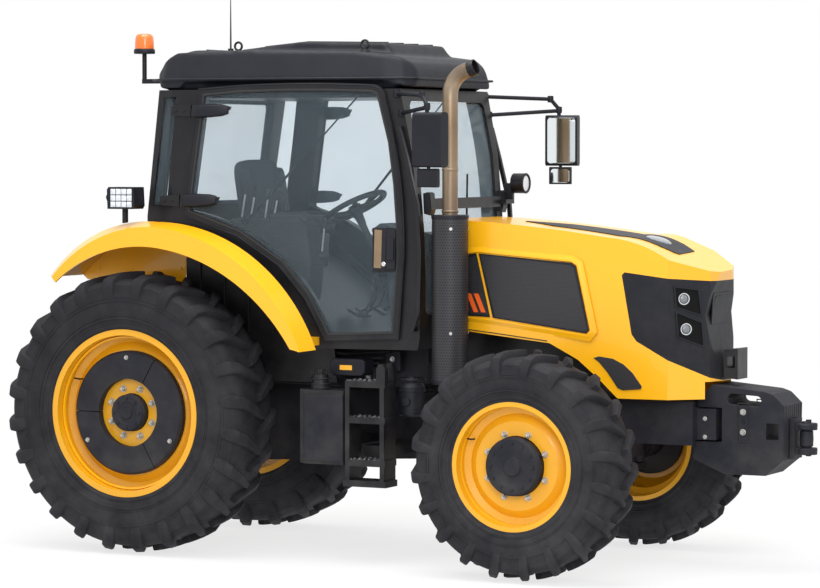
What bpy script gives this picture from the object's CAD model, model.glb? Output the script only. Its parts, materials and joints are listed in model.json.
import bpy, bmesh, math, json
from mathutils import Vector, Matrix


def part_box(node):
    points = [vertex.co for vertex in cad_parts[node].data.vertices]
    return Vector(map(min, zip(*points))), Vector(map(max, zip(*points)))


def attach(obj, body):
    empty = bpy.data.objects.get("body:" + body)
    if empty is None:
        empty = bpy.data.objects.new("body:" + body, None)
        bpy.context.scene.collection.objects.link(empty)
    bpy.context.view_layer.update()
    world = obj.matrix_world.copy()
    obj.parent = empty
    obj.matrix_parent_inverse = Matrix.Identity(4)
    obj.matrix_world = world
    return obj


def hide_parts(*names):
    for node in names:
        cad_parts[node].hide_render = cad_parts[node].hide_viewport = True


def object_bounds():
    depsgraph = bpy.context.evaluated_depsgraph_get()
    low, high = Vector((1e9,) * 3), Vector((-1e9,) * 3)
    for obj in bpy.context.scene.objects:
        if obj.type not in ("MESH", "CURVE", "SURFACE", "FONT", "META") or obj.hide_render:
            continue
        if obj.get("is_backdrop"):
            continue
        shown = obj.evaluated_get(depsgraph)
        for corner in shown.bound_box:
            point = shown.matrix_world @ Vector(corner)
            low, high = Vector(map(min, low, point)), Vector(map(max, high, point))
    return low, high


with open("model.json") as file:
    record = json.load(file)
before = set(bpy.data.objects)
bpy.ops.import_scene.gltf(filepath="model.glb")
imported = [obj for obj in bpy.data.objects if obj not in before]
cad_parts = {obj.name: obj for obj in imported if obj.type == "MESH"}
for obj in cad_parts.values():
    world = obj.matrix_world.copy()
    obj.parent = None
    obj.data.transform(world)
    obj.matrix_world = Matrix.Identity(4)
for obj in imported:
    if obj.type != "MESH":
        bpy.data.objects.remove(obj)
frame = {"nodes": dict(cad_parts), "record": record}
node, record = frame["nodes"], frame["record"]
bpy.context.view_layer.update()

# ---------------------------------------------------------------- yard and light
# A white floor and backdrop under a bright overcast sky: one broad soft lamp overhead, a weaker one
# from the right front, and a camera that stands well back on the right at about roof height.
camera_at, camera_yaw, camera_dip = (8.637, -17.368, 2.454), 26.63, 2.607
camera = bpy.data.cameras.new("camera")
camera.lens, camera.sensor_width = 140.26, 36.0
camera.clip_start, camera.clip_end = 0.5, 120.0
stand = bpy.data.objects.new("camera", camera)
stand.location = camera_at
stand.rotation_euler = (math.radians(90 - camera_dip), 0, math.radians(camera_yaw))
bpy.context.scene.collection.objects.link(stand)
bpy.context.scene.camera = stand
bpy.context.scene.view_settings.view_transform = "Standard"


class Flow:
    """A value on its way through a finish's nodes; arithmetic on it adds Math nodes."""

    def __init__(self, tree, socket=None):
        self.tree, self.socket = tree, socket

    def node(self, kind, settings=None, inputs=None, out=0):
        """Adds a node, sets its settings, then fills or links its inputs, and gives one output."""
        made = self.tree.nodes.new("ShaderNode" + kind)
        for name, value in (settings or {}).items():
            if name == "stops":
                stops = made.color_ramp.elements
                while len(stops) < len(value):
                    stops.new(1.0)
                for stop, (place, shade) in zip(stops, value):
                    stop.position = place
                    stop.color = shade if isinstance(shade, tuple) else (shade, shade, shade, 1)
            else:
                setattr(made, name, value)
        for name, value in (inputs or {}).items():
            if isinstance(value, Flow):
                self.tree.links.new(value.socket, made.inputs[name])
            elif value is not None:
                made.inputs[name].default_value = value
        return Flow(self.tree, made.outputs[out])

    def math(self, sort, first, second=None):
        """One Math node on flows or numbers."""
        return self.node("Math", {"operation": sort}, {0: first, 1: second})

    def __add__(self, other): return self.math("ADD", self, other)
    def __radd__(self, other): return self.math("ADD", other, self)
    def __sub__(self, other): return self.math("SUBTRACT", self, other)
    def __rsub__(self, other): return self.math("SUBTRACT", other, self)
    def __mul__(self, other): return self.math("MULTIPLY", self, other)
    def __truediv__(self, other): return self.math("DIVIDE", self, other)

    def mix(self, first, second):
        """Blends two colours by this value."""
        return self.node("Mix", {"data_type": "RGBA"}, {0: self, 6: first, 7: second}, 2)

    def ramp(self, *stops):
        """Maps this value through (place, shade) stops; a shade is a grey or a colour."""
        return self.node("ValToRGB", {"stops": stops}, {0: self})

    def noise(self, place, scale, detail=4.0, rough=0.55):
        """Cloudy noise at a point."""
        return self.node("TexNoise", None, {"Vector": place, "Scale": scale, "Detail": detail,
                                            "Roughness": rough})

    def cells(self, place, scale):
        """Small cells, dark in their middles."""
        return self.node("TexVoronoi", None, {"Vector": place, "Scale": scale})

    def bumped(self, strength, distance):
        """A normal that takes this value as its height."""
        return self.node("Bump", None, {"Strength": strength, "Distance": distance, "Height": self})


def finish_of(name, build, **fixed):
    """A material: build(flow, place) gives what varies, by socket name; fixed sets plain numbers."""
    made = bpy.data.materials.new(name)
    made.use_nodes = True
    tree = made.node_tree
    surface = tree.nodes["Principled BSDF"]
    flow = Flow(tree)
    place = flow.node("TexCoord", out=3)
    for socket, value in build(flow, place).items():
        if isinstance(value, Flow):
            tree.links.new(value.socket, surface.inputs[socket])
        else:
            surface.inputs[socket].default_value = value
    for socket, value in fixed.items():
        surface.inputs[socket.replace("_", " ")].default_value = value
    return made


def seen_directly(flow):
    """1 for what the camera sees, straight or by way of metal and glass."""
    eye, metal, glass = (flow.node("LightPath", out=k) for k in (0, 3, 5))
    return eye.math("MAXIMUM", eye.math("MAXIMUM", eye, metal), glass)


floor_white, floor_glow = 0.80, 0.74
ground = bpy.data.materials.new("white_floor")
ground.use_nodes = True
lit = ground.node_tree.nodes["Principled BSDF"]
lit.inputs["Base Color"].default_value = (floor_white, floor_white, floor_white, 1)
lit.inputs["Roughness"].default_value = 0.95
lit.inputs["Specular IOR Level"].default_value = 0.0
flow = Flow(ground.node_tree)
glow = flow.node("Emission", None, {"Color": (1, 1, 1, 1), "Strength": 1.0})
spot = flow.node("TexCoord", out=3)
far_off = flow.node("VectorMath", {"operation": "LENGTH"}, {0: spot}, 1)
# the floor's own light rises to white where the ground runs out of the tractor's shade
share = seen_directly(flow) * flow.node("MapRange", None, {0: far_off, 1: 3.5, 2: 8.0, 3: floor_glow, 4: 1.0})
shown = flow.node("MixShader", None, {0: share, 1: Flow(ground.node_tree, lit.outputs[0]), 2: glow})
ground.node_tree.links.new(shown.socket, ground.node_tree.nodes["Material Output"].inputs[0])
bpy.ops.mesh.primitive_plane_add(size=160)
floor = bpy.context.object
floor.name = "floor"
floor.data.materials.append(ground)
floor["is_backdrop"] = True

sky = bpy.data.worlds.new("sky")
bpy.context.scene.world = sky
sky.use_nodes = True
air = Flow(sky.node_tree)
sky_light = sky.node_tree.nodes["Background"]
sky_strength, sky_blue = 0.455, (0.93, 0.96, 1.0, 1)
seen = seen_directly(air)
sky_share = sky_strength + seen * (1.0 - sky_strength)
sky.node_tree.links.new(sky_share.socket, sky_light.inputs["Strength"])
sky_tint = seen.mix(sky_blue, (1, 1, 1, 1))
sky.node_tree.links.new(sky_tint.socket, sky_light.inputs["Color"])
for name, place, aim, width, power in (
        ("overhead", (0.0, -2.0, 9.0), (0, 0, 1), 7.0, 700.0),
        ("right_front", (5.0, -9.0, 5.0), (0, 0, 1.2), 4.0, 380.0)):
    lamp = bpy.data.lights.new(name, "AREA")
    lamp.size, lamp.energy = width, power
    holder = bpy.data.objects.new(name, lamp)
    holder.location = place
    holder.rotation_euler = (Vector(aim) - Vector(place)).to_track_quat("-Z", "Y").to_euler()
    bpy.context.scene.collection.objects.link(holder)

# ---------------------------------------------------------------- finishes of the CAD nodes
# Enamel, rubber, castings, moulded plastic and glass. Each has its own grain, and dust that gathers
# low down and in broad clouds; the nodes' hard edges are rounded a little so that they catch light.
def dusted(flow, place, shade, low, high, amount, dust):
    """A colour with dust on it: most below low, least above high, in clouds."""
    height = flow.node("SeparateXYZ", None, {0: place}, 2)
    near = flow.node("MapRange", None, {0: height, 1: low, 2: high, 3: 1.0, 4: 0.12})
    cloud = flow.noise(place, 5.0, 6.0, 0.65).ramp((0.38, 0.0), (0.72, 1.0))
    return (near * cloud * amount).mix(shade, dust)


def grained(first, second, mottle, gloss, relief=None, dust=None):
    """A finish of two colours that one noise blends and a roughness that another one moves.

    mottle is the first noise's scale, detail and roughness; gloss is a level, a swing and the second
    noise's; relief is "noise" or "cells", a strength, a distance and its own. dust goes on to dusted.
    """
    def build(flow, place):
        shade = flow.noise(place, *mottle).mix(first, second)
        level, swing, *wander = gloss
        looks = {"Base Color": dusted(flow, place, shade, *dust) if dust else shade,
                 "Roughness": level + flow.noise(place, *wander) * swing}
        if relief:
            kind, strength, distance, *size = relief
            grain = flow.cells(place, *size) if kind == "cells" else flow.noise(place, *size)
            looks["Normal"] = grain.bumped(strength, distance)
        return looks
    return build


def amber_finish(flow, place):
    ribs = flow.node("TexWave", {"bands_direction": "Z"}, {"Vector": place, "Scale": 60.0}, 1)
    return {"Base Color": ribs.mix((0.72, 0.10, 0.006, 1), (0.95, 0.22, 0.015, 1)),
            "Roughness": 0.12 + ribs * 0.1, "Normal": ribs.bumped(0.3, 0.001)}


def pipe_finish(flow, place):
    height = flow.node("SeparateXYZ", None, {0: place}, 2)
    heat = flow.node("MapRange", None, {0: height, 1: 2.05, 2: 2.95}) + (flow.noise(place, 3.5, 5.0) - 0.5) * 0.35
    shade = heat.ramp((0.0, (0.20, 0.145, 0.10, 1)), (0.35, (0.30, 0.225, 0.155, 1)), (0.6, (0.23, 0.16, 0.10, 1)),
                      (0.82, (0.36, 0.28, 0.20, 1)), (1.0, (0.17, 0.125, 0.09, 1)))
    return {"Base Color": shade, "Roughness": 0.30 + flow.noise(place, 60.0, 5.0) * 0.22,
            "Normal": flow.noise(place, 130.0).bumped(0.08, 0.001)}


def tinted_pane(name, veil, tint):
    """Clear sheet: mostly see-through with a tint, a thin bright veil, and more mirror at a slant."""
    made = bpy.data.materials.new(name)
    made.use_nodes = True
    flow = Flow(made.node_tree)
    place = flow.node("TexCoord", out=3)
    through = flow.node("BsdfTransparent", None, {"Color": tint})
    sheen = made.node_tree.nodes["Principled BSDF"]
    streak = flow.noise(place, 2.2, 4.0)
    sheen.inputs["Base Color"].default_value = (0.30, 0.39, 0.45, 1)
    flow.tree.links.new((0.03 + streak * 0.04).socket, sheen.inputs["Roughness"])
    slant = flow.node("LayerWeight", None, {"Blend": 0.32}, 1)
    share = veil + slant * 0.36 + (streak - 0.5) * 0.08
    shown = flow.node("MixShader", None, {0: share, 1: through, 2: Flow(made.node_tree, sheen.outputs[0])})
    flow.tree.links.new(shown.socket, made.node_tree.nodes["Material Output"].inputs[0])
    return made


coats = {
    "yellow_paint": finish_of("yellow_enamel", grained(
        (0.90, 0.415, 0.003, 1), (0.95, 0.470, 0.005, 1), (1.7, 3.0), (0.24, 0.14, 14.0, 5.0),
        ("noise", 0.035, 0.001, 240.0, 2.0), (0.3, 1.5, 0.16, (0.62, 0.42, 0.16, 1))),
        Coat_Weight=0.40, Coat_Roughness=0.06),
    "tyre": finish_of("tread_rubber", grained(
        (0.009, 0.009, 0.0115, 1), (0.022, 0.022, 0.027, 1), (9.0, 6.0), (0.62, 0.25, 30.0),
        ("noise", 0.25, 0.001, 160.0, 3.0), (0.0, 2.2, 0.30, (0.105, 0.103, 0.105, 1))), Specular_IOR_Level=0.22),
    "glass": tinted_pane("cab_glass", 0.07, (0.960, 0.985, 1.0, 1)),
    "amber_lens": finish_of("amber_lens", amber_finish, Coat_Weight=0.6),
    "pipe_steel": finish_of("heated_steel", pipe_finish, Metallic=0.75),
    "trim_plastic": finish_of("grained_trim", grained(
        (0.030, 0.031, 0.034, 1), (0.052, 0.053, 0.057, 1), (12.0, 3.0), (0.55, 0.2, 40.0),
        ("cells", 0.04, 0.0005, 300.0)), Specular_IOR_Level=0.28),
    "black_plastic": finish_of("moulded_black", grained(
        (0.005, 0.0055, 0.009, 1), (0.011, 0.012, 0.019, 1), (4.0,), (0.40, 0.16, 22.0),
        ("cells", 0.16, 0.0006, 420.0), (0.6, 2.6, 0.14, (0.16, 0.15, 0.14, 1))), Specular_IOR_Level=0.26),
    "black_cast": finish_of("painted_casting", grained(
        (0.007, 0.0075, 0.012, 1), (0.016, 0.017, 0.026, 1), (6.0, 5.0), (0.48, 0.22, 210.0, 3.0, 0.7),
        ("noise", 0.30, 0.0012, 210.0, 3.0, 0.7), (0.2, 1.5, 0.28, (0.13, 0.12, 0.105, 1))), Specular_IOR_Level=0.26),
    "black_paint": finish_of("black_enamel", grained(
        (0.005, 0.005, 0.007, 1), (0.010, 0.010, 0.013, 1), (5.0,), (0.30, 0.2, 16.0, 5.0),
        ("noise", 0.06, 0.001, 190.0, 2.0), (0.3, 1.8, 0.26, (0.14, 0.13, 0.115, 1))),
        Specular_IOR_Level=0.26, Coat_Weight=0.12, Coat_Roughness=0.2),
}
yellow_coat, rubber_coat, plastic_coat, cast_coat, black_coat, trim_coat = (coats[slot] for slot in (
    "yellow_paint", "tyre", "black_plastic", "black_cast", "black_paint", "trim_plastic"))
rim_enamel = finish_of("rim_enamel", grained(
    (0.70, 0.318, 0.002, 1), (0.87, 0.425, 0.004, 1), (3.0, 5.0, 0.6), (0.30, 0.18, 14.0, 5.0),
    ("noise", 0.05, 0.001, 240.0), (0.1, 1.6, 0.12, (0.34, 0.24, 0.10, 1))), Coat_Weight=0.30, Coat_Roughness=0.1)


def repaint(name, coat):
    """Gives a CAD node one finish."""
    node[name].data.materials.clear()
    node[name].data.materials.append(coat)


# widths of the rounded edges; from broad on, the flats are joined first and the round is finer
round_edges = {"hood": 0.006, "fender_right": 0.004, "fender_left": 0.004, "front_weights": 0.009,
               "nose_mask": 0.004, "mirrors": 0.020, "seat": 0.0, "steering_wheel": 0.0, "beacon": 0.0,
               "exhaust_pipe": 0.0}
broad = 0.009
for part in record["subparts"]:
    skin = node[part["node"]]
    repaint(part["node"], rim_enamel if "_rim_" in part["node"] else coats[part["material_slot"]])
    width = round_edges.get(part["node"], 0.003)
    if part["node"] == "roof":
        moulded = skin.modifiers.new("moulded", "REMESH")
        moulded.mode, moulded.voxel_size, moulded.use_smooth_shade = "VOXEL", 0.013, True
        relaxed = skin.modifiers.new("relaxed", "SMOOTH")
        relaxed.factor, relaxed.iterations = 0.5, 10
        continue
    if width >= broad:
        flats = skin.modifiers.new("flats", "DECIMATE")
        flats.decimate_type, flats.angle_limit = "DISSOLVE", math.radians(1.0)
    if width and "glass" not in part["node"]:
        soften = skin.modifiers.new("edges", "BEVEL")
        soften.width, soften.segments, soften.limit_method = width, 4 if width >= broad else 2, "ANGLE"
        soften.angle_limit, soften.harden_normals = math.radians(14 if width >= broad else 35), True

# ---------------------------------------------------------------- tyres
# Four lugged tyres. The carcass is turned from a rounded section with moulded rings on its wall; each
# lug runs from the middle of the tread round the shoulder, bending back and thinning as it goes.
def drawn_in(outline, by):
    """The outline moved inwards by a distance, corner by corner."""
    moved, count = [], len(outline)
    turn = sum(outline[k][0] * outline[(k + 1) % count][1] - outline[(k + 1) % count][0] * outline[k][1]
               for k in range(count))
    way = 1 if turn > 0 else -1
    for k in range(count):
        a, b, c = (Vector(outline[(k + j) % count]) for j in (-1, 0, 1))
        one, two = (b - a).normalized(), (c - b).normalized()
        n1, n2 = Vector((-one.y, one.x)) * way, Vector((-two.y, two.x)) * way
        mean = (n1 + n2) / max(0.35, 1 + n1.dot(n2))
        moved.append(tuple(b + mean * by))
    return moved


class Shape:
    """Faces gathered into one piece. lay carries local points into the row frame."""

    def __init__(self):
        self.mesh = bmesh.new()

    def grid(self, rows, lay=None, closed=False, caps=False):
        """Joins rows of points, each of the same length; closed joins each row's ends."""
        lay = lay or Matrix()
        made = [[self.mesh.verts.new(lay @ Vector(p)) for p in row] for row in rows]
        count = len(rows[0])
        for one, two in zip(made, made[1:]):
            for k in range(count if closed else count - 1):
                j = (k + 1) % count
                self.mesh.faces.new((one[k], one[j], two[j], two[k]))
        if caps:
            self.mesh.faces.new(list(reversed(made[0])))
            self.mesh.faces.new(made[-1])
        return self

    def turned(self, profile, lay=None, steps=64):
        """(radius, height) pairs turned about local Z."""
        rows = [[(r * math.cos(a), r * math.sin(a), z) for a in
                 (2 * math.pi * k / steps for k in range(steps))] for r, z in profile]
        return self.grid(rows, lay, closed=True)

    def slab(self, outline, low, high, lay=None):
        """An outline of (u, v) pairs carried from low to high along local Z."""
        return self.grid([[(u, v, w) for u, v in outline] for w in (low, high)], lay, True, True)

    def stepped(self, outline, steps, lay, caps=False):
        """An outline taken through (distance inwards, height) steps."""
        return self.grid([[(*p, high) for p in drawn_in(outline, by)] for by, high in steps], lay, True, caps)

    def rod(self, points, radius, steps=12, lay=None):
        """A round bar through points."""
        points = [(lay or Matrix()) @ Vector(p) for p in points]
        rows, side = [], None
        for k, p in enumerate(points):
            ahead = (points[min(k + 1, len(points) - 1)] - points[max(k - 1, 0)]).normalized()
            side = (side or Vector((0.3, 0.5, 0.8))).cross(ahead).cross(ahead).normalized() * -1
            up = ahead.cross(side)
            rows.append([p + (side * math.cos(a) + up * math.sin(a)) * radius for a in
                         (2 * math.pi * j / steps for j in range(steps))])
        return self.grid(rows, None, True, True)

    def bolt(self, lay, size=0.012, high=0.008, washer=0.0018):
        """A hexagon head on its washer, rising along local Z."""
        self.turned([(0, washer), (size * 1.3, washer), (size * 1.3, 0)], lay, 20)
        ring = [(size * math.cos(math.radians(60 * k)), size * math.sin(math.radians(60 * k))) for k in range(6)]
        crown = [(u * 0.86, v * 0.86) for u, v in ring]
        self.grid([[(u, v, washer) for u, v in ring], [(u, v, high * 0.8) for u, v in ring],
                   [(u, v, high) for u, v in crown]], lay, True, True)
        return self

    def piece(self, name, coat, body="chassis", edge=0.0, angle=38, stands_for=()):
        """Makes the object, rounds its edges by edge, and lets it ride on its body."""
        bmesh.ops.remove_doubles(self.mesh, verts=self.mesh.verts, dist=0.00002)
        bmesh.ops.recalc_face_normals(self.mesh, faces=self.mesh.faces)
        shape = bpy.data.meshes.new(name)
        self.mesh.to_mesh(shape)
        self.mesh.free()
        shape.shade_smooth()
        shape.set_sharp_from_angle(angle=math.radians(angle))
        thing = bpy.data.objects.new(name, shape)
        bpy.context.scene.collection.objects.link(thing)
        shape.materials.append(coat)
        if edge:
            soften = thing.modifiers.new("edges", "BEVEL")
            soften.width, soften.segments, soften.limit_method = edge, 2, "ANGLE"
            soften.angle_limit, soften.harden_normals = math.radians(angle), True
        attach(thing, body)
        if stands_for:
            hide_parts(*stands_for)
        return thing


def across(x, y, z, s):
    """Local Z points outwards on side s, local X forwards; for wheels and flank fittings."""
    return Matrix(((1, 0, 0, x), (0, 0, s, y), (0, -s, 0, z), (0, 0, 0, 1)))


def bulge(t):
    """How wide a tyre's wall is at share t of its height, as a share of half the width."""
    return 0.925 + 0.068 * math.sin(math.pi * min(1.0, t * 1.06) ** 0.9)


sides = (("right", -1), ("left", 1))
lug_count, lug_high = {"rear": 24, "front": 20}, 0.042
# a lug swings back by lug_sweep steps, less what eases it, and tips over by lug_lean past the shoulder;
# the half thickness listed for it is that of a tyre of radius lug_r
lug_sweep, lug_ease, lug_lean, lug_r, shoulder = 0.66, 0.24, math.radians(78), 0.857, 0.60
# a lug's section, as (shares of the half thickness to the side, shares of the height up)
lug_section = ((-1.25, -0.12), (-1.0, 0.80), (-0.72, 1.0), (0.72, 1.0), (1.0, 0.80), (1.25, -0.12))
for end in ("rear", "front"):
    for name, s in sides:
        low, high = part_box(f"{end}_tyre_{name}")
        rim_low, rim_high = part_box(f"{end}_rim_{name}")
        reach, rim = (high - low).x / 2, (rim_high - rim_low).x / 2
        half, middle = (high - low).y / 2, (high + low) / 2
        base = reach - lug_high
        wheel = across(middle.x, middle.y, middle.z, s)
        # carcass section from the outer bead over the tread to the inner bead
        wall = [(rim - 0.022, half * 0.86), (rim + 0.004, half * 0.885), (rim + 0.012, half * 0.93),
                (rim + 0.022, half * 0.94), (rim + 0.030, half * 0.925)]
        for k in range(1, 9):
            t = k / 9
            wall.append((rim + 0.03 + (base - 0.075 - rim) * t, half * bulge(t)))
        wall += [(base - 0.040, half * 0.93), (base - 0.022, half * 0.86), (base - 0.009, half * 0.74),
                 (base - 0.003, half * 0.5), (base, 0.0)]
        profile = wall + [(r, -y) for r, y in reversed(wall[:-1])]
        tyre = Shape().turned(profile, wheel, 120)
        # moulded rings on the outer wall
        for at, wide, tall in ((0.17, 0.010, 0.004), (0.24, 0.005, 0.003), (0.62, 0.006, 0.003), (0.70, 0.004, 0.002)):
            r = rim + 0.03 + (base - 0.075 - rim) * at
            y = half * bulge(at)
            for way in (1, -1):
                tyre.turned([(r - wide, way * (y - 0.004)), (r - wide * 0.6, way * (y + tall)),
                             (r + wide * 0.6, way * (y + tall)), (r + wide, way * (y - 0.004))], wheel, 96)
        # lugs: stations along each, as (share of half width, radius of the base, height, half thickness)
        step = 2 * math.pi / lug_count[end]
        stations = [(-0.07, base - 0.004, 0.0420, 0.020), (0.10, base - 0.003, 0.0420, 0.023),
                    (0.30, base - 0.004, 0.0415, 0.026), (0.52, base - 0.006, 0.0405, 0.029),
                    (0.72, base - 0.011, 0.0400, 0.033), (0.88, base - 0.023, 0.0400, 0.036),
                    (0.965, base - 0.045, 0.0380, 0.036), (0.985, base - 0.080, 0.0280, 0.032),
                    (0.990, base - 0.120, 0.0150, 0.027), (0.975, base - 0.155, -0.002, 0.021)]
        grow = reach / lug_r
        for way in (1, -1):
            for k in range(lug_count[end]):
                start = step * (k + (0.5 if way < 0 else 0.0)) * s
                rows = []
                for share, r, tall, thick in stations:
                    bend = max(0.0, share)
                    turn = start + s * step * lug_sweep * (bend - lug_ease * bend * bend)
                    # the outward normal swings from radial to sideways over the shoulder
                    lean = min(1.0, max(0.0, (share - shoulder) / 0.38)) ** 1.6 * lug_lean
                    dr, dy = math.cos(lean) * tall, math.sin(lean) * tall * 0.55
                    y = half * share * (0.965 if share > 0.9 else 1.0)
                    ring = []
                    for aside, up in lug_section:
                        a = turn + aside * thick * grow / r
                        rr = r + dr * up
                        ring.append((rr * math.sin(a), rr * math.cos(a), way * (y + dy * up)))
                    rows.append(ring)
                tyre.grid(rows, wheel, True, True)
        tyre.piece(f"{end}_tyre_skin_{name}", rubber_coat, f"{end}_wheel_{name}", 0.0, 34,
                   (f"{end}_tyre_{name}",))

# ---------------------------------------------------------------- rims and hubs
# Nuts on their washers round each disc, bolts on the split weights, a stepped and bolted cover over
# each hub, rolled beads on the flange and the barrel, and a valve stem.
zinc = finish_of("zinc_plate", grained((0.42, 0.42, 0.41, 1), (0.66, 0.65, 0.62, 1), (60.0,), (0.32, 0.25, 90.0)),
                 Metallic=0.9)


def around(count, radius, start=0.0):
    """The angle and the point of each copy in a ring; start is a share of one step."""
    for k in range(count):
        a = 2 * math.pi * (k + start) / count
        yield a, radius * math.cos(a), radius * math.sin(a)


def outer_face(name, s):
    """How far a node reaches from the middle plane on side s."""
    low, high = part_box(name)
    return high.y if s > 0 else -low.y


def struck(name, start, way):
    """Where a ray from start meets a CAD node's skin, or None."""
    skin = node[name]
    into = skin.matrix_world.inverted()
    hit, spot, _, _ = skin.ray_cast(into @ Vector(start), (into.to_3x3() @ Vector(way)).normalized())
    return skin.matrix_world @ spot if hit else None


# each end's ring of nuts (count, radius, size), its hub's radius, and the count of cover bolts
wheel_fittings = {"rear": (8, 0.153, 0.0165, 0.112, 8), "front": (8, 0.192, 0.0150, 0.168, 12)}
cover_steps = [(0.99, -0.004), (0.93, 0.006), (0.60, 0.007), (0.55, 0.001), (0.34, 0.001), (0.30, 0.010),
               (0.10, 0.012), (0.0, 0.012)]
weight_bolt_r, weight_bolt_start = 0.335, (math.radians(60) + 0.55) / math.radians(120)
for end, (count, ring, size, hub_r, cover_bolts) in wheel_fittings.items():
    for name, s in sides:
        body, rim_name = f"{end}_wheel_{name}", f"{end}_rim_{name}"
        low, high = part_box(rim_name)
        rim, centre = (high - low).x / 2, (low + high) / 2
        wheel = across(centre.x, centre.y, centre.z, s)
        disc = outer_face(rim_name, s) - abs(centre.y)
        hub_out = outer_face(f"{end}_hub_{name}", s) - abs(centre.y)
        # the disc's face under the nuts, found by looking inwards from outside
        spot = struck(rim_name, wheel @ Vector((ring, 0, 0.6)), wheel.to_3x3() @ Vector((0, 0, -1)))
        face = (wheel.inverted() @ spot).z if spot else disc - 0.1
        nuts = Shape()
        for a, u, v in around(count, ring, 0.5):
            at = wheel @ Matrix.Translation((u, v, face)) @ Matrix.Rotation(a, 4, "Z")
            nuts.bolt(at, size, 0.020, 0.004)
            nuts.turned([(size * 0.5, 0.019), (size * 0.5, 0.032), (0.0, 0.034)], at, 16)
        if end == "rear":
            weight_out = outer_face(f"wheel_weight_{name}", s) - abs(centre.y)
            for _, u, v in around(3, weight_bolt_r, weight_bolt_start):
                nuts.bolt(wheel @ Matrix.Translation((u, v, weight_out)), 0.011, 0.012, 0.002)
        nuts.piece(f"{end}_wheel_nuts_{name}", zinc, body, 0.0008)
        cover = Shape().turned([(hub_r * share, hub_out + rise) for share, rise in cover_steps], wheel, 64)
        for _, u, v in around(cover_bolts, hub_r * 0.78):
            cover.bolt(wheel @ Matrix.Translation((u, v, hub_out + 0.006)), 0.0085, 0.009, 0.0015)
        cover.piece(f"{end}_hub_cover_{name}", cast_coat, body, 0.0012)
        beads = Shape()
        for r, w, y in ((rim - 0.020, 0.007, disc - 0.010), (rim * 0.905, 0.008, disc - 0.050)):
            beads.turned([(r - w, y - w), (r - w * 0.5, y + w * 0.3), (r + w * 0.5, y + w * 0.3), (r + w, y - w)],
                         wheel, 96)
        beads.piece(f"{end}_rim_beads_{name}", yellow_coat, body)
        valve_at = math.radians(152)
        foot = Vector((math.cos(valve_at), math.sin(valve_at), 0)) * rim * 0.80
        valve = Shape().rod([wheel @ (foot * grow + Vector((0, 0, face + rise)))
                             for grow, rise in ((1.0, -0.01), (1.01, 0.03), (1.05, 0.06))], 0.005)
        valve.piece(f"{end}_valve_{name}", plastic_coat, body)

# ---------------------------------------------------------------- hood dressing
# On each flank: mesh-faced black screens in raised frames with a folded edge round them, two orange
# slashes, a thin yellow line, the hood's shut line, and an arched mesh blind over the wheel.
axle_x = -1.526
tractor = Matrix.Translation((axle_x, 0, 0))


def upright(s, y):
    """Local X forwards from the rear axle, local Y up, local Z outwards on side s."""
    return Matrix(((1, 0, 0, axle_x), (0, 0, s, s * y), (0, 1, 0, 0), (0, 0, 0, 1)))


def mesh_finish(flow, place):
    """Fine woven grille: dark holes between threads that run both ways."""
    x, z = (flow.node("SeparateXYZ", None, {0: place}, k) for k in (0, 2))
    pitch = 0.0075
    along = flow.math("PINGPONG", (x + z * 0.35) / pitch, 0.5)
    up = flow.math("PINGPONG", z / pitch, 0.5)
    thread = flow.math("MINIMUM", along, up).ramp((0.10, 1.0), (0.22, 0.0))
    return {"Base Color": thread.mix((0.007, 0.007, 0.009, 1), (0.030, 0.030, 0.035, 1)),
            "Roughness": 0.30 + thread * 0.15, "Normal": thread.bumped(0.35, 0.0012)}


grille = finish_of("woven_grille", mesh_finish)
repaint("hood_screens", grille)
orange = finish_of("orange_film", grained((0.86, 0.115, 0.012, 1), (0.93, 0.15, 0.02, 1), (8.0,), (0.3, 0.1, 40.0)))
screen_small = [(2.040, 1.828), (2.092, 1.835), (2.180, 1.468), (2.040, 1.474)]
screen_big = [(2.112, 1.836), (2.700, 1.788), (2.728, 1.770), (2.812, 1.405), (2.795, 1.388), (2.205, 1.463)]
screen_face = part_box("hood_screens")[1].y
fold = [(2.030, 1.842), (2.112, 1.850), (2.704, 1.803), (2.742, 1.780), (2.828, 1.402), (2.803, 1.372),
        (2.200, 1.448), (2.030, 1.460)]
fold_steps = ((-0.034, -0.0068), (-0.022, -0.0045), (-0.010, 0.0010), (-0.002, 0.0030), (0.004, 0.0030),
              (0.008, -0.004))
for name, s in sides:
    flank_lay = upright(s, screen_face)
    rims = Shape()
    for outline in (screen_small, screen_big):
        middle = sum((Vector(p) for p in outline), Vector((0, 0))) / len(outline)
        inset, outer = ([middle + (Vector(p) - middle) * (1 + by / (Vector(p) - middle).length) for p in outline]
                        for by in (-0.012, 0.004))
        rims.grid([[(*p, h) for p in edge] for edge, h in (
            (outer, -0.005), (outer, 0.0015), (inset, 0.0022), (inset, -0.0012))], flank_lay, True)
    rims.piece(f"screen_rims_{name}", plastic_coat, "hood_lid", 0.0008)
    swage = Shape().stepped(fold, fold_steps, flank_lay)
    swage.piece(f"screen_swage_{name}", yellow_coat, "hood_lid", angle=60)
    slashes = Shape()
    for start in (2.030, 2.078):
        slashes.slab([(start, 1.602), (start + 0.030, 1.602), (start + 0.078, 1.492), (start + 0.048, 1.492)],
                     0.0014, 0.0022, flank_lay)
    slashes.piece(f"orange_slashes_{name}", orange, "hood_lid")
    line = Shape().slab([(2.094, 1.838), (2.106, 1.838), (2.200, 1.462), (2.188, 1.463)],
                        -0.0052, -0.0035, flank_lay)
    line.piece(f"yellow_line_{name}", yellow_coat, "hood_lid")
    # shut line along the hood's lower edge
    seam = Shape().rod([(x, s * 0.4004, z) for x, z in ((1.872, 1.405), (2.20, 1.372), (2.55, 1.334))],
                       0.0030, 8, tractor)
    seam.piece(f"hood_seam_{name}", plastic_coat, "hood_lid")

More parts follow.
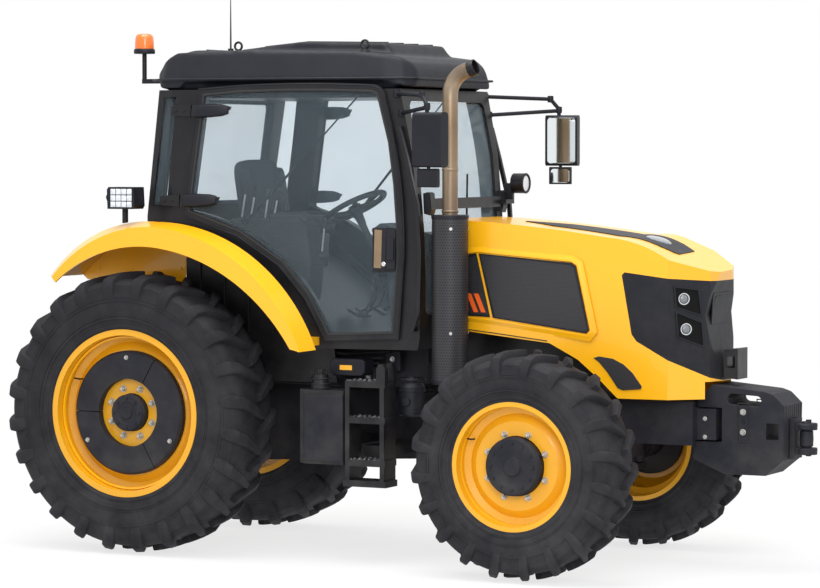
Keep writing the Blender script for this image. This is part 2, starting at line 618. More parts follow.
arch = [(2.838, 1.243), (2.872, 1.253), (2.957, 1.242), (3.022, 1.211), (3.078, 1.163), (3.135, 1.086),
        (3.128, 1.070), (3.020, 1.060), (2.988, 1.072), (2.925, 1.160), (2.872, 1.220)]
for name, s in sides:
    rows = []
    for lift in (0.001, 0.006):
        rows.append([])
        for x, z in arch:
            spot = struck("hood", (axle_x + x, s * 1.2, z), (0, -s, 0))
            rows[-1].append((axle_x + x, s * ((abs(spot.y) if spot else 0.398) + lift), z))
    blind = Shape().grid(rows, None, True, True)
    blind.piece(f"wheel_blind_{name}", grille, "hood_lid", 0.0015)

# ---------------------------------------------------------------- nose
# Headlamps as framed dark pockets with chromed bowls and round lenses, a bare badge panel, and a clear
# oval lens let into the crown.
def lens_finish(flow, place):
    lines = flow.node("TexWave", {"bands_direction": "X"}, {"Vector": place, "Scale": 90.0}, 1)
    return {"Base Color": lines.mix((0.08, 0.09, 0.10, 1), (0.26, 0.28, 0.31, 1)),
            "Roughness": 0.07 + lines * 0.06, "Normal": lines.bumped(0.2, 0.0008)}


lens = finish_of("clear_lens", lens_finish, Coat_Weight=0.8)
chrome = finish_of("chrome_bowl", grained((0.72, 0.74, 0.76, 1), (0.72, 0.74, 0.76, 1), (1.0,), (0.08, 0.10, 50.0)),
                   Metallic=1.0)
pocket_black = finish_of("lamp_pocket", grained((0.0015, 0.0015, 0.002, 1), (0.005, 0.005, 0.006, 1), (120.0, 3.0),
                                                (0.55, 0.2, 120.0, 3.0)), Specular_IOR_Level=0.15)
repaint("headlamps", plastic_coat)
# the lamps' facet in plan, then each lamp's outline on it and the middle of its bowl
facet_a, facet_b = Vector((3.290, 0.366)), Vector((3.480, 0.190))
lamp_rows = (([(0.038, 1.662), (0.186, 1.643), (0.205, 1.497), (0.049, 1.545)], (0.098, 1.592)),
             ([(0.049, 1.516), (0.208, 1.455), (0.220, 1.316), (0.062, 1.374)], (0.112, 1.418)))
run = (facet_b - facet_a).normalized()
for name, s in sides:
    lay = Matrix(((run.x, 0, -run.y, axle_x + facet_a.x), (s * run.y, 0, s * run.x, s * facet_a.y),
                  (0, 1, 0, 0), (0, 0, 0, 1)))
    bowls, glows, frames, pockets = Shape(), Shape(), Shape(), Shape()
    for outline, (u, v) in lamp_rows:
        bowl_lay = lay @ Matrix.Translation((u, v, 0.0))
        bowls.turned([(0.036, -0.003), (0.034, 0.004), (0.028, 0.003), (0.026, -0.002)], bowl_lay, 40)
        glows.turned([(0.026, -0.002), (0.022, 0.004), (0.013, 0.008), (0.0, 0.010)], bowl_lay, 40)
        middle = sum((Vector(p) for p in outline), Vector((0, 0))) / 4
        outer, inner = ([middle + (Vector(p) - middle) * grow for p in outline] for grow in (1.06, 0.94))
        frames.grid([[(*p, h) for p in edge] for edge, h in (
            (outer, -0.004), (outer, 0.007), (inner, 0.007), (inner, -0.003))], lay, True)
        pockets.slab(inner, -0.004, 0.0012, lay)
    pockets.piece(f"lamp_pockets_{name}", pocket_black, "hood_lid")
    bowls.piece(f"lamp_bowls_{name}", chrome, "hood_lid")
    glows.piece(f"lamp_lenses_{name}", lens, "hood_lid")
    frames.piece(f"lamp_frames_{name}", plastic_coat, "hood_lid", 0.001)

# badge panel: bare, in two steps that follow the mask's curve
mask_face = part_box("nose_mask")[1].x
panel = Shape()
for y0, y1, z0, z1, lift in ((-0.148, 0.148, 1.440, 1.622, 0.004), (-0.118, 0.118, 1.462, 1.604, 0.008)):
    corners = [(y0 + 0.012, z1), (y1 - 0.012, z1), (y1, z1 - 0.02), (y1 - 0.010, z0), (y0 + 0.010, z0),
               (y0, z1 - 0.02)]
    spots = [(struck("nose_mask", (4.0, y, z), (-1, 0, 0)), y, z) for y, z in corners]
    panel.grid([[(spot.x + out if spot else mask_face - 0.04 + out, y, z) for spot, y, z in spots]
                for out in (-0.002, lift)], None, True, True)
panel.piece("badge_panel", plastic_coat, "hood_lid", 0.002)

oval_x, oval_r_x, oval_r_y = axle_x + 3.085, 0.074, 0.078
rows = []
for share, lift in ((1.0, 0.003), (0.97, 0.008), (0.80, 0.012), (0.45, 0.015), (0.02, 0.016)):
    rows.append([])
    for _, u, v in around(40, share):
        x, y = oval_x + oval_r_x * u, oval_r_y * v
        spot = struck("hood", (x, y, 3.0), (0, 0, -1))
        rows[-1].append((x, y, (spot.z if spot else 1.9) + lift))
oval = Shape().grid(rows, None, True)
oval.piece("crown_lens", lens, "hood_lid")

# ---------------------------------------------------------------- doors and pillars
# Rubber seals and a raised rib on each door frame, the latch with its tan strip, a grip, a lift strut
# and screws, which swing with the door; the hinge leaves stay on the pillar.
hinge_at, latch_at = (0.300, 0.785), (1.750, 0.600)
lean = (Vector(latch_at) - Vector(hinge_at)).normalized()
door_outline = [(1.405, 1.331), (0.940, 1.311), (0.806, 1.560), (0.644, 1.750), (0.380, 1.922), (0.070, 2.034),
                (0.022, 2.058), (0.130, 2.813), (0.400, 2.835), (0.683, 2.843), (0.980, 2.841), (1.245, 2.832),
                (1.298, 2.808), (1.322, 2.750), (1.385, 2.500), (1.418, 2.250), (1.434, 2.020), (1.440, 1.830)]
seal = finish_of("rubber_seal", grained((0.010, 0.010, 0.011, 1), (0.020, 0.020, 0.022, 1), (30.0,),
                                        (0.55, 0.2, 70.0)))
tan = finish_of("tan_strip", grained((0.16, 0.105, 0.058, 1), (0.26, 0.18, 0.10, 1), (18.0,), (0.42, 0.2, 80.0)))
door_lay = {}
# (inset, height) steps of the seals and of the frame's raised rib
door_beads = {"seal_outer": ((0.034, 0.0255), (0.037, 0.0290), (0.047, 0.0280), (0.051, 0.016)),
              "seal_inner": ((0.034, 0.0), (0.037, -0.004), (0.047, -0.004), (0.051, 0.008)),
              "rib": ((0.004, 0.026), (0.006, 0.0285), (0.010, 0.0285), (0.012, 0.026))}
hinge_heights = (2.140, 2.680)
for name, s in sides:
    lay = door_lay[name] = Matrix(((lean.x, 0, -lean.y, axle_x + hinge_at[0]),
                                   (s * lean.y, 0, s * lean.x, s * hinge_at[1]), (0, 1, 0, 0), (0, 0, 0, 1)))
    body = f"door_leaf_{name}"
    for tag, steps in door_beads.items():
        bead = Shape().stepped(door_outline, steps, lay)
        bead.piece(f"door_{tag}_{name}", plastic_coat if tag == "rib" else seal, body)
    # latch: a box with a raised grip, a tan strip behind it, and a round button
    latch = Shape()
    latch.slab([(1.246, 1.742), (1.322, 1.738), (1.330, 1.980), (1.252, 1.986)], 0.0235, 0.0275, lay)
    latch.slab([(1.330, 1.745), (1.386, 1.745), (1.390, 1.978), (1.334, 1.978)], 0.0235, 0.0400, lay)
    latch.slab([(1.338, 1.800), (1.380, 1.800), (1.382, 1.925), (1.340, 1.925)], 0.0400, 0.0520, lay)
    latch.piece(f"latch_{name}", plastic_coat, body, 0.003)
    strip = Shape().slab([(1.250, 1.752), (1.296, 1.750), (1.302, 1.974), (1.256, 1.978)], 0.0275, 0.0300, lay)
    strip.piece(f"latch_strip_{name}", tan, body, 0.001)
    button = Shape().turned([(0.013, 0.0275), (0.013, 0.033), (0.010, 0.035), (0.0, 0.035)],
                            lay @ Matrix.Translation((1.312, 1.775, 0.0)), 24)
    button.piece(f"latch_button_{name}", chrome, body)
    # grip bar and strut inside the glass
    inside = Shape()
    for bar, radius in ((((1.16, 1.47, -0.012), (1.17, 1.47, -0.055), (1.20, 1.56, -0.062), (1.24, 1.76, -0.060),
                          (1.25, 1.80, -0.014)), 0.011),
                        (((0.42, 2.02, -0.030), (0.80, 2.42, -0.042)), 0.008),
                        (((0.80, 2.42, -0.042), (1.12, 2.76, -0.052)), 0.005)):
        inside.rod(bar, radius, 12, lay)
    for p in ((1.16, 1.47, -0.006), (1.25, 1.80, -0.006), (0.42, 2.02, -0.012)):
        inside.turned([(0.020, 0.010), (0.020, -0.010), (0.0, -0.012)], lay @ Matrix.Translation(p), 20)
    inside.piece(f"door_grip_{name}", plastic_coat, body)
    # screws on the hinge arms, which swing, and the hinge leaves on the pillar, which stay
    screws, pillar = Shape(), Shape()
    for z in hinge_heights:
        pin = 0.014 + (z - 2.058) * 0.143
        for du, dv in ((0.045, 0.0), (0.105, 0.006), (0.170, 0.010)):
            screws.bolt(lay @ Matrix.Translation((pin + du, z + dv, 0.040)), 0.0080, 0.006, 0.0012)
        pillar.slab([(pin - 0.155, z - 0.026), (pin - 0.030, z - 0.036), (pin - 0.026, z + 0.036),
                     (pin - 0.150, z + 0.030)], -0.008, 0.012, lay)
        for du in (-0.125, -0.075):
            pillar.bolt(lay @ Matrix.Translation((pin + du, z, 0.012)), 0.008, 0.006, 0.0012)
    screws.piece(f"hinge_screws_{name}", black_coat, body)
    pillar.piece(f"hinge_leaves_{name}", black_coat, edge=0.002)

# moulded covers over the hinges: (share of the length, half height by height, depth) along each
fin_steps = ((0.0, 0.40, 0.046), (0.12, 0.50, 0.062), (0.45, 0.50, 0.064), (0.8, 0.44, 0.060), (1.0, 0.30, 0.044))
for name, s in sides:
    fins = Shape()
    for (u0, u1), (z0, z1) in (((0.105, 0.330), (2.636, 2.720)), ((0.030, 0.250), (2.100, 2.182))):
        rows = []
        for t, tall, deep in fin_steps:
            u, mid, tall = u0 + (u1 - u0) * t, (z0 + z1) / 2 + 0.006 * t, (z1 - z0) * tall
            rows.append([(u, mid - tall, 0.026), (u, mid - tall * 0.8, deep * 0.85 + 0.004), (u, mid, deep + 0.004),
                         (u, mid + tall * 0.8, deep * 0.85 + 0.004), (u, mid + tall, 0.026)])
        fins.grid(rows, door_lay[name], True, True)
    fins.piece(f"hinge_fins_{name}", plastic_coat, f"door_leaf_{name}", 0.004)

# ---------------------------------------------------------------- rear window and wiper
# The rear window's seal, laid on the leaning pane, and a wiper with its link on the windscreen.
def rounded(half_w, half_h, corner):
    """A rectangle's outline with rounded corners."""
    return [(cx * (half_w - corner) + corner * math.cos(math.radians(a0 + 22.5 * k)),
             cy * (half_h - corner) + corner * math.sin(math.radians(a0 + 22.5 * k)))
            for cx, cy, a0 in ((1, 1, 0), (-1, 1, 90), (-1, -1, 180), (1, -1, 270)) for k in range(5)]


pane_z, pane_foot, pane_lean = 2.430, (0.035, 2.045), (0.138 - 0.035) / (2.806 - 2.045)
rows = []
for by, h in ((-0.010, -0.002), (-0.006, 0.006), (0.012, 0.006), (0.018, -0.004)):
    rows.append([(axle_x + pane_foot[0] + (pane_z + v - pane_foot[1]) * pane_lean - h, y, pane_z + v)
                 for y, v in drawn_in(rounded(0.610, 0.320, 0.05), by)])
Shape().grid(rows, None, True).piece("rear_window_seal", seal)

ahead = Matrix.Rotation(math.radians(90), 4, "Y")
wiper = Shape().rod([(1.812, -0.10, 1.60), (1.826, -0.10, 1.60), (1.822, 0.02, 2.02)], 0.007, 12, tractor)
wiper.rod([(1.822, 0.02, 1.72), (1.812, 0.06, 2.30)], 0.006, 12, tractor)
wiper.turned([(0.026, 0.0), (0.026, 0.018), (0.012, 0.024), (0.0, 0.024)],
             tractor @ Matrix.Translation((1.808, -0.10, 1.60)) @ ahead, 24)
wiper.piece("wiper", plastic_coat)

# ---------------------------------------------------------------- roof dressing
# A drip lip round the rim, raised beads along the top and one across it.
lip = Shape()
for s in (-1, 1):
    lip.rod([(x, s * y, 2.868) for x, y in ((0.060, 0.694), (0.150, 0.774), (0.300, 0.804), (1.600, 0.631),
                                            (1.700, 0.589), (1.760, 0.524))], 0.007, 8, tractor)
lip.rod([(1.762, y, 2.868) for y in (-0.52, 0, 0.52)], 0.007, 8, tractor)
lip.piece("roof_lip", plastic_coat)
grooves = Shape()
for y in (-0.30, -0.10, 0.10, 0.30):
    grooves.rod([(0.62, y, 3.072), (0.92, y, 3.098), (1.46, y, 3.086)], 0.006, 8, tractor)
grooves.rod([(0.30, y, 3.052) for y in (-0.46, 0, 0.46)], 0.006, 8, tractor)
grooves.piece("roof_grooves", plastic_coat)

# ---------------------------------------------------------------- exhaust
# Perforated guard with end bands and studs, and the open pipe above it with two rings and a dark
# collar at the lip.
guard_low, guard_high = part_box("exhaust_guard")
stack_x, stack_y = (guard_low.x + guard_high.x) / 2, (guard_low.y + guard_high.y) / 2
guard_r = (guard_high.x - guard_low.x) / 2
guard_axis = node["exhaust_guard"].matrix_world.inverted() @ Vector((stack_x, stack_y, 0))


def pierced_finish(flow, place):
    """Round holes in staggered rows, worked out from the angle about the stack and the height."""
    x, y, z = (flow.node("SeparateXYZ", None, {0: place}, k) for k in (0, 1, 2))
    turn = flow.math("ARCTAN2", y - guard_axis.y, x - guard_axis.x) * guard_r
    pitch = 0.0165
    odd = flow.math("PINGPONG", flow.math("FLOOR", z / pitch), 1.0)
    u = flow.math("FRACT", turn / pitch + odd * 0.5) - 0.5
    v = flow.math("FRACT", z / pitch) - 0.5
    hole = flow.math("SQRT", u * u + v * v).ramp((0.24, 1.0), (0.30, 0.0))
    body = flow.noise(place, 9.0).mix((0.016, 0.016, 0.021, 1), (0.030, 0.030, 0.038, 1))
    return {"Base Color": hole.mix(body, (0.001, 0.001, 0.001, 1)), "Roughness": 0.38 + hole * 0.3,
            "Normal": (1.0 - hole).bumped(0.5, 0.0015)}


def pointing(at, way):
    """Local Z along a direction, from a point."""
    return Matrix.Translation(at) @ way.to_track_quat("Z", "Y").to_matrix().to_4x4()


repaint("exhaust_guard", finish_of("pierced_sheet", pierced_finish))
bands = Shape()
for z in (guard_low.z + 0.012, guard_high.z - 0.012):
    bands.turned([(guard_r, -0.011), (guard_r + 0.004, -0.008), (guard_r + 0.004, 0.008), (guard_r, 0.011)],
                 Matrix.Translation((stack_x, stack_y, z)), 64)
bands.piece("guard_bands", plastic_coat)
studs = Shape()
for z in (guard_low.z + 0.30, guard_high.z - 0.08):
    for degrees in (-62, 40, 160):
        out = Vector((math.cos(math.radians(degrees)), math.sin(math.radians(degrees)), 0))
        studs.bolt(pointing(Vector((stack_x, stack_y, z)) + out * guard_r, out), 0.007, 0.006, 0.0015)
studs.piece("guard_studs", zinc)
pipe_r = 0.046
ring = Shape()
for z, grow in ((guard_high.z + 0.020, 0.004), (2.33, 0.0025)):
    ring.turned([(pipe_r, -0.008), (pipe_r + grow, -0.004), (pipe_r + grow, 0.004), (pipe_r, 0.008)],
                Matrix.Translation((stack_x, stack_y, z)), 48)
ring.piece("pipe_rings", coats["pipe_steel"])
# the bend at the top starts at bend_z and turns forwards; the outlet runs on straight
turn, bend_r, bend_z, outlet = math.radians(72), 0.150, 2.765, 0.062
way = Vector((math.sin(turn), 0, math.cos(turn)))
lip_at = Vector((stack_x + bend_r * (1 - math.cos(turn)), stack_y, bend_z + bend_r * math.sin(turn))) + way * outlet
collar = Shape().turned([(0.0465, -0.040), (0.0485, -0.038), (0.0490, -0.002), (0.0470, 0.003), (0.0430, 0.002),
                         (0.0425, -0.030)], pointing(lip_at, way), 48)
collar.piece("pipe_collar", black_coat)

# ---------------------------------------------------------------- beacon, lamps and mirrors
# Amber dome on a ribbed base; fender lamps with rows of small emitters and cooling fins; a round lamp
# on the bar; mirror glasses that look back, and the joints of the mirror arms.
repaint("beacon", plastic_coat)
dome_x, dome_y, base_r = axle_x - 0.060, -0.600, 0.0630
dome_lay = Matrix.Translation((dome_x, dome_y, 0))
dome = Shape().turned([(0.0575, 3.062), (0.0590, 3.070), (0.0580, 3.100), (0.0555, 3.128), (0.0500, 3.144),
                       (0.0400, 3.152), (0.0200, 3.1545), (0.0, 3.1545)], dome_lay, 48)
dome.piece("beacon_dome", coats["amber_lens"])
base = Shape().turned([(base_r, 3.032), (0.0650, 3.038), (0.0650, 3.054), (0.0600, 3.062), (0.0540, 3.062)],
                      dome_lay, 48)
for _, u, v in around(24, base_r):
    base.bolt(Matrix.Translation((dome_x + u, dome_y + v, 3.040)), 0.0022, 0.012, 0.001)
base.piece("beacon_base", plastic_coat)


def inward(s, y):
    """Local X forwards from the rear axle, local Y up, local Z inwards from side s, from plane y."""
    return Matrix(((1, 0, 0, axle_x), (0, 0, -s, y), (0, 1, 0, 0), (0, 0, 0, 1)))


def emitter_finish(flow, place):
    cell = flow.cells(place, 70.0)
    return {"Base Color": cell.mix((0.86, 0.89, 0.92, 1), (0.52, 0.56, 0.60, 1)), "Roughness": 0.12 + cell * 0.2,
            "Normal": cell.bumped(0.5, 0.002)}


emitter = finish_of("lamp_emitters", emitter_finish, Coat_Weight=0.9)
cell_pitch, lamp_face = 0.038, 0.940
for name, s in sides:
    faces, lamp_fins = Shape(), Shape()
    for row in range(3):
        for column in range(4):
            cx, cz = -0.078 + cell_pitch * column, 2.118 + cell_pitch * row
            faces.grid([[(cx + u * g, s * (lamp_face + d), cz + v * g) for u, v in ((-1, -1), (1, -1), (1, 1), (-1, 1))]
                        for g, d in ((0.017, 0.0), (0.016, 0.003), (0.010, 0.0055))], tractor, True, True)
    faces.piece(f"fender_lamp_cells_{name}", emitter)
    for k in range(6):
        z = 2.104 + 0.020 * k
        lamp_fins.slab([(-0.112, z), (0.060, z), (0.060, z + 0.006), (-0.112, z + 0.006)], 0.0, 0.010,
                       inward(s, s * 0.820))
    lamp_fins.rod([(x, s * 0.90, z) for x, z in ((-0.128, 2.10), (-0.150, 2.16), (-0.128, 2.21))], 0.004, 8, tractor)
    lamp_fins.piece(f"fender_lamp_fins_{name}", plastic_coat, edge=0.001)

lamp_lay = tractor @ Matrix.Translation((1.967, 0.560, 2.240)) @ ahead
for tag, coat, profile in (
        ("ring", plastic_coat, [(0.061, 0.0), (0.064, 0.006), (0.060, 0.012), (0.052, 0.011), (0.046, 0.003)]),
        ("face", emitter, [(0.052, 0.004), (0.040, 0.007), (0.018, 0.009), (0.0, 0.0095)])):
    Shape().turned(profile, lamp_lay, 48).piece(f"bar_lamp_{tag}", coat)

mirror = finish_of("mirror_glass", grained((0.80, 0.84, 0.86, 1), (0.80, 0.84, 0.86, 1), (1.0,), (0.02, 0.02, 6.0)),
                   Metallic=1.0)
for name, s in sides:
    # each head's broad axis leans a little; the glass is on its rearward face
    broad = Vector((0.220, 0.040)).normalized()
    for middle, half_w, half_h, deep in (((2.052, 0.935, 2.504), 0.090, 0.142, 0.036),
                                         ((2.040, 0.932, 2.285), 0.060, 0.044, 0.016)):
        lay = Matrix(((broad.x, 0, broad.y, axle_x + middle[0]), (s * broad.y, 0, -s * broad.x, s * middle[1]),
                      (0, 1, 0, middle[2]), (0, 0, 0, 1)))
        glass = Shape().stepped(rounded(half_w, half_h, 0.02), ((0.0, deep - 0.001), (0.002, deep + 0.0015)), lay, True)
        glass.piece(f"mirror_glass_{name}_{int(middle[2] * 1000)}", mirror)
knuckles = Shape()
for s in (-1, 1):
    for x, y, z in ((1.985, 0.900, 2.762), (2.030, 0.930, 2.695), (1.672, 0.612, 2.776), (1.702, 0.604, 2.662)):
        knuckles.turned([(0.0, -0.022), (0.018, -0.020), (0.020, 0.0), (0.018, 0.020), (0.0, 0.022)],
                        tractor @ Matrix.Translation((x, s * y, z)), 20)
knuckles.piece("mirror_joints", plastic_coat)

# ---------------------------------------------------------------- driver's place
# Padded seat, a gripped steering wheel, sticks with knobs on the side console, an arm rest on the
# console, and pedals.
def seat_finish(flow, place):
    weave = flow.cells(place, 260.0)
    return {"Base Color": flow.noise(place, 7.0, 4.0).mix((0.030, 0.034, 0.040, 1), (0.060, 0.066, 0.074, 1)),
            "Roughness": 0.72 + weave * 0.15, "Normal": weave.bumped(0.15, 0.001)}


seat_cloth = finish_of("seat_cloth", seat_finish)


def pillow(shape, half, lay, power=0.36, steps=44, rings=18):
    """A rounded block: a ball drawn out towards its corners."""
    def drawn(value):
        return math.copysign(abs(value) ** power, value)
    rows = []
    for i in range(1, rings):
        b = math.pi * (i / rings - 0.5)
        rows.append([(half[0] * drawn(math.cos(b)) * drawn(u), half[1] * drawn(math.cos(b)) * drawn(v),
                      half[2] * drawn(math.sin(b))) for _, u, v in around(steps, 1.0, 0.5)])
    return shape.grid(rows, lay, True, True)


seat_low, seat_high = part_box("seat")
seat_mid, half_x, half_y = (seat_low + seat_high) / 2, (seat_high - seat_low).x / 2, (seat_high - seat_low).y / 2
chair = Shape()
back_lean = Matrix.Rotation(math.radians(-9), 4, "Y")
pillow(chair, (half_x - 0.03, half_y, 0.055),
       Matrix.Translation((seat_mid.x + 0.03, seat_mid.y, seat_low.z + 0.058)))
pillow(chair, (0.052, half_y * 0.92, 0.205),
       Matrix.Translation((seat_low.x + 0.115, seat_mid.y, seat_low.z + 0.250)) @ back_lean)
for s in (-1, 1):
    back_y, base_y = seat_mid.y + s * half_y * 0.76, seat_mid.y + s * half_y * 0.80
    pillow(chair, (0.042, 0.045, 0.170),
           Matrix.Translation((seat_low.x + 0.155, back_y, seat_low.z + 0.235)) @ back_lean)
    pillow(chair, (0.170, 0.042, 0.040), Matrix.Translation((seat_high.x - 0.21, base_y, seat_low.z + 0.095)))
chair.piece("seat_pads", seat_cloth, angle=70, stands_for=("seat",))

wheel_r, grip_r = 0.200, 0.0165
wheel_lay = pointing((axle_x + 1.075, 0.0, 2.095), Vector((-1, 0, 1.9)).normalized())
grip = Shape().turned([(wheel_r + grip_r * math.cos(math.radians(30 * k)), grip_r * math.sin(math.radians(30 * k)))
                       for k in range(13)], wheel_lay, 72)
for degrees in (90, 210, 330):
    a = math.radians(degrees)
    grip.rod([(r * math.cos(a), r * math.sin(a), h) for r, h in ((0.035, -0.022), (0.09, -0.018), (0.195, 0.0))],
             0.011, 12, wheel_lay)
grip.turned([(0.0, 0.012), (0.034, 0.009), (0.046, -0.004), (0.048, -0.030), (0.030, -0.050), (0.024, -0.120)],
            wheel_lay, 36)
grip.piece("steering_grip", trim_coat)

sticks, knobs = Shape(), Shape()
knob_tall = 0.071
for x0, z0, x1, z1, y in ((0.502, 2.005, 0.544, 2.244, -0.40), (0.565, 2.005, 0.607, 2.226, -0.40),
                          (0.665, 2.000, 0.698, 2.214, -0.40), (0.722, 1.990, 0.767, 2.208, -0.40),
                          (1.036, 1.800, 1.063, 2.041, -0.36)):
    foot, top = Vector((axle_x + x0, y, z0)), Vector((axle_x + x1, y, z1))
    way = (top - foot).normalized()
    sticks.rod([foot, top - way * 0.055], 0.0055, 10)
    knobs.turned([(0.0, 0.0), (0.008, 0.002), (0.011, 0.020), (0.0145, 0.050), (0.0125, 0.066), (0.0, knob_tall)],
                 pointing(top - way * knob_tall, way), 20)
    knobs.turned([(0.030, 0.0), (0.026, 0.012), (0.018, 0.016), (0.014, 0.030), (0.008, 0.034)],
                 pointing(foot, way), 20)
sticks.piece("lever_sticks", zinc)
knobs.piece("lever_knobs", trim_coat)
console_low, console_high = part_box("console")
rest = pillow(Shape(), (0.130, 0.060, 0.050),
              Matrix.Translation((axle_x + 0.86, (console_low.y + console_high.y) / 2, 2.020)), 0.5)
rest.piece("console_rest", trim_coat, angle=60)
pedals = Shape()
for y in (-0.17, -0.07, 0.15):
    pedals.rod([(1.36, y, 1.66), (1.28, y, 1.50), (1.20, y, 1.46)], 0.009, 10, tractor)
    pillow(pedals, (0.050, 0.034, 0.010),
           tractor @ Matrix.Translation((1.17, y, 1.455)) @ Matrix.Rotation(math.radians(28), 4, "Y"), 0.3, 24, 8)
pedals.piece("pedals", black_coat)

# ---------------------------------------------------------------- under the cab
# Aprons and linings of the wheel arches; side members with housings, hoses and unions; the bulkhead;
# the control box with its plate left blank; lid and filler ribs; studded treads; canister bands.
wheel_inside = -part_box("rear_tyre_right")[1].y - 0.030
crest = [(-0.585, 1.675), (-0.42, 1.815), (-0.236, 1.925), (0.0, 1.975), (0.163, 1.988)]
for name, s in sides:
    near = inward(s, s * wheel_inside)
    apron = Shape().slab(crest + [(0.163, 1.62), (-0.16, 1.64), (-0.545, 1.640)], 0.0, 0.006, near)
    apron.slab(crest + [(u, v - 0.008) for u, v in reversed(crest)], wheel_inside - 0.830, 0.0, near)
    for u, v in ((-0.46, 1.715), (-0.22, 1.70), (0.02, 1.69), (0.13, 1.72)):
        apron.bolt(near @ Matrix.Translation((u, v, 0)) @ Matrix.Rotation(math.pi, 4, "X"), 0.010, 0.008)
    apron.piece(f"arch_apron_{name}", yellow_coat, edge=0.002)
    lining = Shape().slab([(0.163, 1.988), (0.45, 1.925), (0.70, 1.86), (0.95, 1.62), (1.19, 1.29), (1.21, 1.05),
                           (0.62, 1.05), (0.40, 1.34), (0.163, 1.46)], 0.004, 0.016, near)
    for k in range(5):
        u = 0.26 + 0.17 * k
        top = 1.92 - 0.75 * max(u - 0.5, 0)
        lining.slab([(u, 1.34), (u + 0.012, 1.34), (u + 0.012, top), (u, top)], -0.008, 0.006, near)
    lining.piece(f"arch_lining_{name}", black_coat, edge=0.003)
    beam_lay = inward(s, s * 0.360)
    beam = Shape().slab([(0.30, 1.30), (0.30, 1.09), (0.62, 1.03), (1.20, 1.02), (1.60, 1.03), (1.75, 1.05),
                         (1.76, 1.30)], 0.0, 0.060, beam_lay)
    for u0, v0, u1, v1, out in ((0.42, 1.19, 0.60, 1.28, 0.07), (0.74, 1.10, 0.90, 1.24, 0.09),
                                (1.02, 1.17, 1.16, 1.26, 0.10), (1.30, 1.07, 1.44, 1.15, 0.08),
                                (1.50, 1.13, 1.60, 1.25, 0.06)):
        beam.slab([(u0, v0), (u1, v0), (u1, v1), (u0, v1)], -out, 0.01, beam_lay)
    beam.piece(f"side_member_{name}", cast_coat, edge=0.006)
    hoses = Shape()
    for k in range(6):
        z, out, odd = 1.275 - 0.036 * k, 0.415 + 0.014 * (k % 3), k % 2
        hoses.rod([(x, s * (out + bow), z + rise) for x, bow, rise in (
            (0.34 + 0.05 * k, 0.0, 0.02), (0.62, 0.030, -0.012 * odd), (0.95, 0.012, 0.016), (1.26, 0.034, -0.014),
            (1.58 - 0.04 * k, 0.0, 0.006))], 0.0085 + 0.002 * odd, 12, tractor)
    hoses.piece(f"hoses_{name}", rubber_coat, angle=60)
    unions = Shape()
    for u, v, out in ((0.47, 1.215, 0.440), (0.53, 1.255, 0.440), (0.78, 1.205, 0.455), (0.86, 1.165, 0.455),
                      (1.05, 1.225, 0.465), (1.12, 1.225, 0.465), (1.33, 1.12, 0.445), (1.40, 1.095, 0.445),
                      (1.55, 1.20, 0.425), (0.66, 1.115, 0.365)):
        unions.bolt(across(axle_x + u, s * out, v, s), 0.012, 0.016)
    unions.piece(f"unions_{name}", zinc)

screen = Shape().slab([(1.640, 1.180), (1.800, 1.180), (1.800, 1.930), (1.700, 1.960), (1.640, 1.900)],
                      -0.330, 0.330, inward(-1, 0))
screen.piece("bulkhead", black_coat, edge=0.010)
box_lay = inward(-1, -0.560)
control = Shape().slab([(1.229, 1.125), (1.250, 1.105), (1.440, 1.105), (1.463, 1.125), (1.463, 1.190),
                        (1.440, 1.208), (1.250, 1.208), (1.229, 1.190)], -0.055, 0.070, box_lay)
control.piece("control_box", plastic_coat, edge=0.008)
plate = Shape().slab([(1.296, 1.140), (1.378, 1.140), (1.378, 1.169), (1.296, 1.169)], -0.0575, -0.054, box_lay)
plate.piece("blank_plate", yellow_coat, edge=0.001)
low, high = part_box("battery_box")
lid_back, lid_front = low.x + 0.040 - axle_x, high.x - 0.018 - axle_x
lid_foot, lid_top = low.z + 0.016, 1.006
panel = [(lid_back, lid_foot), (lid_front, lid_foot), (lid_front, lid_top), (lid_back, lid_top)]
lid = Shape().stepped(panel, ((0.0, 0.0), (0.001, 0.006), (0.006, 0.009), (0.022, 0.0095)), upright(-1, 0.758), True)
lid.piece("box_lid", cast_coat, angle=30)
filler_x, filler_y = axle_x + 1.206, -0.690
trim = Shape()
for z in (1.036, 1.060, 1.092):
    trim.turned([(0.0575, -0.006), (0.0605, -0.003), (0.0605, 0.003), (0.0575, 0.006)],
                Matrix.Translation((filler_x, filler_y, z)), 40)
for _, u, v in around(20, 0.055):
    trim.bolt(Matrix.Translation((filler_x + u, filler_y + v, 1.118)), 0.004, 0.020, 0.001)
trim.piece("filler_ribs", plastic_coat, edge=0.001)


def worn_finish(flow, place):
    rubbed = flow.noise(place, 34.0, 6.0, 0.7).ramp((0.44, 0.0), (0.62, 1.0))
    return {"Base Color": rubbed.mix((0.014, 0.014, 0.018, 1), (0.20, 0.20, 0.21, 1)),
            "Roughness": 0.42 - rubbed * 0.12, "Normal": rubbed.bumped(0.2, 0.0006)}


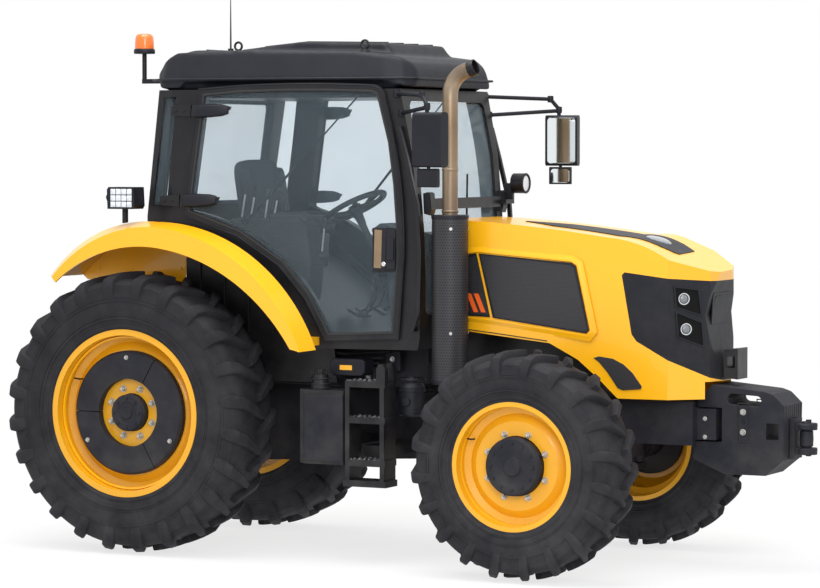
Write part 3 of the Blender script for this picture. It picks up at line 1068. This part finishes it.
tread_tops = (1.092, 0.880, 0.628, 0.487)
treads = Shape()
for z in tread_tops:
    for row in range(4):
        for column in range(7):
            x, y = axle_x + 1.442 + 0.033 * column + 0.016 * (row % 2), -0.772 + 0.036 * row
            treads.turned([(0.0105, 0.0), (0.0095, 0.003), (0.0060, 0.0045), (0.0050, 0.0)],
                          Matrix.Translation((x, y, z)), 12)
    for column in range(11):
        u = 1.432 + 0.0235 * column
        treads.slab([(u, z - 0.001), (u + 0.010, z - 0.001), (u + 0.005, z + 0.009)], -0.788, -0.782,
                    inward(-1, 0))
treads.piece("tread_studs", finish_of("worn_edge", worn_finish))
tank_x, tank_y, tank_r = axle_x + 1.744, -0.552, 0.0775
tank = Shape()
for z, grow in ((0.905, 0.004), (1.030, 0.004), (1.096, 0.003)):
    tank.turned([(tank_r, -0.007), (0.078 + grow, -0.004), (0.078 + grow, 0.004), (tank_r, 0.007)],
                Matrix.Translation((tank_x, tank_y, z)), 44)
tank.turned([(0.030, 0.0), (0.024, 0.014), (0.012, 0.016), (0.0, 0.016)], across(tank_x, -0.626, 0.965, -1), 24)
tank.piece("canister_bands", plastic_coat)

# ---------------------------------------------------------------- front end
# Bolts and a channel on the outer weights, bolts on the carrier, and the tow clevis's ringed lugs with
# its ribbed pin.
flank = abs(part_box("front_weights")[0].y)
front, channel = Shape(), Shape()
for s in (-1, 1):
    for z in (0.942, 0.826):
        front.bolt(across(axle_x + 3.672, s * flank, z, s), 0.014, 0.016, 0.004)
    for z in (0.905, 0.800):
        front.bolt(across(axle_x + 3.480, s * 0.262, z, s), 0.010, 0.008)
    for u0, v0, u1, v1 in ((3.638, 0.774, 3.644, 0.990), (3.701, 0.774, 3.707, 0.990),
                           (3.638, 0.768, 3.707, 0.774), (3.638, 0.990, 3.707, 0.996)):
        channel.slab([(u0, v0), (u1, v0), (u1, v1), (u0, v1)], 0.0, 0.004, upright(s, flank - 0.001))
    channel.turned([(0.0, 0.0035), (0.010, 0.0035), (0.012, 0.0)], across(axle_x + 3.672, s * flank, 0.884, s), 20)
front.piece("weight_bolts_front", zinc)
channel.piece("weight_channels", black_coat, edge=0.001)
eye_lay = Matrix.Translation((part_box("tow_clevis")[1].x - 0.062, 0, 0))
eyes = Shape()
for mid in (0.861, 0.719):
    eyes.turned([(0.030, mid - 0.016), (0.056, mid - 0.017), (0.062, mid - 0.011), (0.063, mid + 0.011),
                 (0.057, mid + 0.017), (0.030, mid + 0.016)], eye_lay, 48)
eyes.turned([(0.0, 0.694), (0.026, 0.696), (0.029, 0.702), (0.029, 0.742), (0.038, 0.748), (0.040, 0.790),
             (0.038, 0.834), (0.029, 0.840), (0.029, 0.882), (0.024, 0.890), (0.0, 0.892)], eye_lay, 40)
eyes.piece("clevis_eyes", cast_coat, edge=0.001)

# ---------------------------------------------------------------- sizes and close
low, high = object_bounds()
